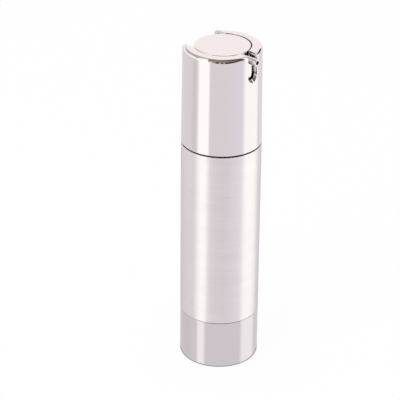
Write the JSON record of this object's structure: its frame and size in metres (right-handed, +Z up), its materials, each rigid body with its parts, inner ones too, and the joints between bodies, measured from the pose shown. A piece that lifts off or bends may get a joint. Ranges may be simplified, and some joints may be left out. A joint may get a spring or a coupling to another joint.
{
  "type": "airless pump bottle",
  "caption": "Slim cylindrical airless pump bottle: polished head with side nozzle and finger notch, brushed metal body, polished base cap.",
  "frame": {"origin": "centre of the underside, on the plane of the foot ring", "axes": "+Z up along the bottle's axis; the nozzle points along -Y and the finger notch along +Y"},
  "size_m": [0.035, 0.0369, 0.15],
  "materials": {
    "polished_plate": "bright metallised plating over moulded plastic",
    "brushed_aluminium": "fine brushing round the tube, clear anodised",
    "bottle_plastic": "natural polypropylene, satin",
    "piston_plastic": "white polyethylene, satin",
    "pump_plastic": "white polypropylene, moulded gloss",
    "black_plastic": "black polypropylene, satin",
    "seal_rubber": "soft elastomer",
    "spring_steel": "drawn stainless wire",
    "ball_steel": "polished stainless ball"
  },
  "bodies": {
    "bottle": {"base_cap": "polished_plate", "base_plug": "piston_plastic", "body_shell": "brushed_aluminium", "inner_bottle": "bottle_plastic"},
    "follower": {"follower_piston": "piston_plastic"},
    "pump": {"pump_housing": "pump_plastic", "neck_gasket": "seal_rubber", "ball_retainer": "pump_plastic", "stem_guide": "pump_plastic", "return_spring": "spring_steel"},
    "ball": {"inlet_ball": "ball_steel"},
    "head": {"head_sleeve": "polished_plate", "screw_collar": "black_plastic"},
    "button": {"button_cap": "polished_plate", "actuator_core": "pump_plastic", "nozzle_insert": "black_plastic", "stem": "pump_plastic", "valve_spindle": "pump_plastic"},
    "piston": {"pump_piston": "piston_plastic"}
  },
  "joints": [
    {"name": "follower_rise", "type": "slide", "parent": "bottle", "child": "follower", "axis": [0, 0, -1], "range_m": [-0.079, 0]},
    {"name": "head_lift", "type": "slide", "parent": "bottle", "child": "pump", "axis": [0, 0, 1], "range_m": [0, 0.006]},
    {"name": "head_turn", "type": "hinge", "parent": "pump", "child": "head", "pos_m": [0, 0, 0.12], "axis": [0, 0, 1], "range_deg": [0, 540.1]},
    {"name": "button_press", "type": "slide", "parent": "head", "child": "button", "axis": [0, 0, -1], "range_m": [0, 0.0055], "stiffness_N_per_m": 1600, "springref_m": -0.004, "deforming": ["return_spring"]},
    {"name": "piston_lost_motion", "type": "slide", "parent": "button", "child": "piston", "axis": [0, 0, 1], "range_m": [0, 0.001]},
    {"name": "ball_rise", "type": "slide", "parent": "pump", "child": "ball", "axis": [0, 0, 1], "range_m": [0, 0.0015]}
  ],
  "couplings": [
    {"joint": "head_turn", "follows": "head_lift", "rad_per_m": 1570.8}
  ]
}
